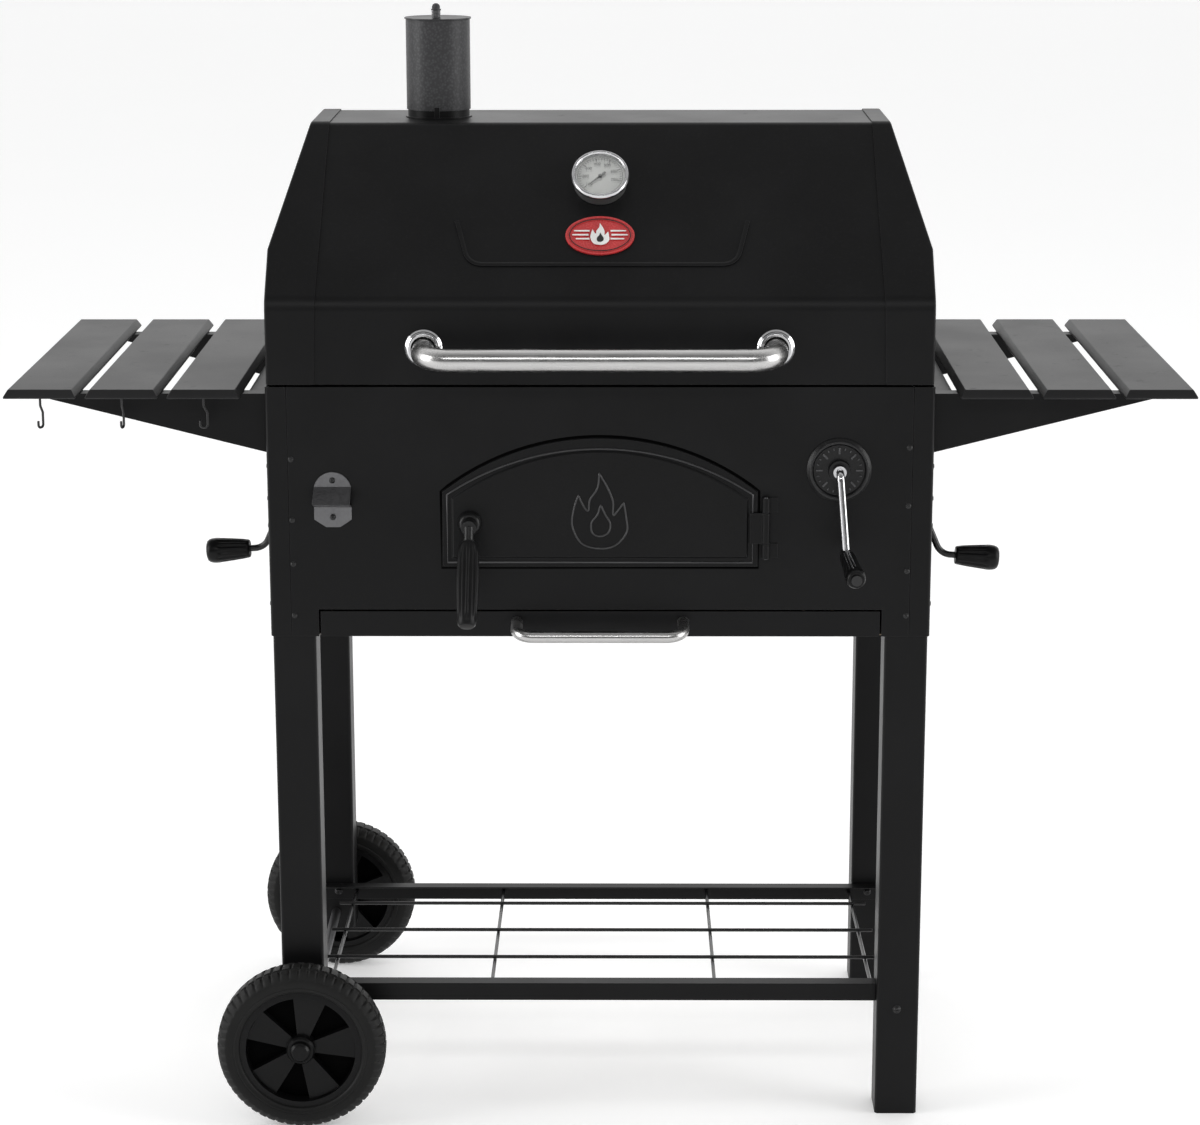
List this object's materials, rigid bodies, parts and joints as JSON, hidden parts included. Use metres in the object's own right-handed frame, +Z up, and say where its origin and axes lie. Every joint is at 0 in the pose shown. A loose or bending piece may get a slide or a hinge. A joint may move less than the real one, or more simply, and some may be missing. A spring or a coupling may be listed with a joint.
{
  "type": "cart charcoal grill",
  "caption": "Cart charcoal grill: black steel firebox with faceted lid, flue, arched front door, crank-lifted tray, ash pan, slatted side shelves, wire rack and two wheels",
  "frame": {"origin": "on the ground under the middle of the bounding box", "axes": "X to the right seen from the front, Y towards the back, Z up; the door, crank and lid handle face -Y"},
  "size_m": [1.354, 0.6646, 1.303],
  "materials": {
    "black_paint": "satin black baked enamel on sheet steel",
    "shelf_paint": "satin black powder coat on bevelled metal boards",
    "stack_paint": "hammered dark grey enamel",
    "black_wire": "glossy black coated steel",
    "door_iron": "black textured enamel on a pressed door",
    "black_cast": "black painted casting",
    "black_fastener": "black coated screw heads",
    "cast_iron": "seasoned cast iron",
    "bare_steel": "uncoated steel with heat tint and ash dust",
    "brushed_steel": "brushed stainless steel",
    "bright_steel": "zinc plated steel",
    "chrome": "polished chrome plate",
    "badge_red": "red enamel badge with a plain flame outline",
    "dial_white": "white printed dial",
    "needle_black": "black pointer",
    "clear_glass": "clear glass",
    "black_plastic": "moulded black plastic",
    "tyre": "solid black tyre with a knobbly tread"
  },
  "bodies": {
    "cart": {"front_panel": "black_paint", "back_panel": "black_paint", "side_panel_left": "black_paint", "side_panel_right": "black_paint", "grate_ledges": "bare_steel", "cooking_grates": "cast_iron", "drawer_runners": "bare_steel", "leg_front_left": "black_paint", "leg_front_right": "black_paint", "leg_rear_left": "black_paint", "leg_rear_right": "black_paint", "leg_caps": "black_plastic", "axle": "bright_steel", "axle_caps": "black_plastic", "rack_rails": "black_paint", "rack_long_wires": "black_wire", "rack_cross_wires": "black_wire", "shelf_slats_left": "shelf_paint", "shelf_slats_right": "shelf_paint", "shelf_brackets": "black_paint", "tool_hooks": "black_fastener", "bottle_opener": "bright_steel", "fasteners": "black_fastener", "hinge_pins": "bright_steel", "crank_dial": "black_cast", "lift_guides": "bare_steel", "door_hinge_knuckles": "black_paint", "lid_hinge_body_leaves": "black_paint"},
    "lid": {"lid_shell": "black_paint", "lid_end_left": "black_paint", "lid_end_right": "black_paint", "lid_handle": "brushed_steel", "handle_rosettes": "chrome", "smokestack": "stack_paint", "lid_badge": "badge_red", "thermometer_case": "chrome", "thermometer_dial": "dial_white", "thermometer_lens": "clear_glass", "lid_hinge_lid_leaves": "black_paint"},
    "pointer": {"thermometer_needle": "needle_black"},
    "flue_damper": {"stack_damper": "stack_paint"},
    "door": {"door_panel": "door_iron", "latch_boss": "black_cast"},
    "latch": {"latch_handle": "black_cast", "latch_grip": "black_plastic"},
    "tray": {"charcoal_tray": "bare_steel"},
    "crank": {"crank_arm": "chrome", "lift_shaft": "bright_steel"},
    "crank_knob": {"crank_grip": "black_plastic"},
    "drawer": {"ash_pan": "bare_steel", "ash_pan_front": "black_paint", "ash_pan_handle": "brushed_steel"},
    "left_vent": {"side_damper_left": "black_wire", "side_damper_grip_left": "black_plastic"},
    "right_vent": {"side_damper_right": "black_wire", "side_damper_grip_right": "black_plastic"},
    "front_wheel": {"wheel_tyre_front": "tyre", "wheel_hub_front": "black_plastic"},
    "rear_wheel": {"wheel_tyre_rear": "tyre", "wheel_hub_rear": "black_plastic"}
  },
  "joints": [
    {"name": "lid_hinge", "type": "hinge", "parent": "cart", "child": "lid", "pos_m": [0, 0.28328, 0.8885], "axis": [-1, 0, 0], "range_deg": [0, 80]},
    {"name": "flue_damper_swivel", "type": "hinge", "parent": "lid", "child": "flue_damper", "pos_m": [-0.193, 0.01678, 1.284], "axis": [0, 0, 1], "range_deg": [0, 90]},
    {"name": "thermometer_pointer", "type": "hinge", "parent": "lid", "child": "pointer", "pos_m": [0, -0.10021, 1.11306], "axis": [0, 0.7322, -0.6811], "range_deg": [0, 240], "stiffness_Nm_per_rad": 0.0002},
    {"name": "door_hinge", "type": "hinge", "parent": "cart", "child": "door", "pos_m": [0.19, -0.20572, 0.724], "axis": [0, 0, 1], "range_deg": [0, 100]},
    {"name": "latch_turn", "type": "hinge", "parent": "door", "child": "latch", "pos_m": [-0.149, -0.21172, 0.73], "axis": [0, 1, 0], "range_deg": [0, 90]},
    {"name": "tray_lift", "type": "slide", "parent": "cart", "child": "tray", "axis": [0, 0, 1], "range_m": [0, 0.0628]},
    {"name": "crank_turn", "type": "hinge", "parent": "cart", "child": "crank", "pos_m": [0.273, -0.00072, 0.791], "axis": [0, 1, 0], "range_deg": [0, 360]},
    {"name": "crank_knob_spin", "type": "hinge", "parent": "crank", "child": "crank_knob", "pos_m": [0.283, -0.28522, 0.6965], "axis": [0.0535, -0.9957, -0.0749], "continuous": true},
    {"name": "ash_pan_slide", "type": "slide", "parent": "cart", "child": "drawer", "axis": [0, -1, 0], "range_m": [0, 0.38]},
    {"name": "left_vent_turn", "type": "hinge", "parent": "cart", "child": "left_vent", "pos_m": [-0.385, 0.03678, 0.703], "axis": [-1, 0, 0], "range_deg": [-13, 47]},
    {"name": "right_vent_turn", "type": "hinge", "parent": "cart", "child": "right_vent", "pos_m": [0.385, 0.03678, 0.703], "axis": [-1, 0, 0], "range_deg": [-30, 30]},
    {"name": "front_wheel_spin", "type": "hinge", "parent": "cart", "child": "front_wheel", "pos_m": [-0.354, -0.22872, 0.1], "axis": [0, 1, 0], "continuous": true},
    {"name": "rear_wheel_spin", "type": "hinge", "parent": "cart", "child": "rear_wheel", "pos_m": [-0.354, 0.30228, 0.1], "axis": [0, 1, 0], "continuous": true}
  ],
  "couplings": [
    {"joint": "crank_turn", "follows": "tray_lift", "rad_per_m": 100}
  ]
}
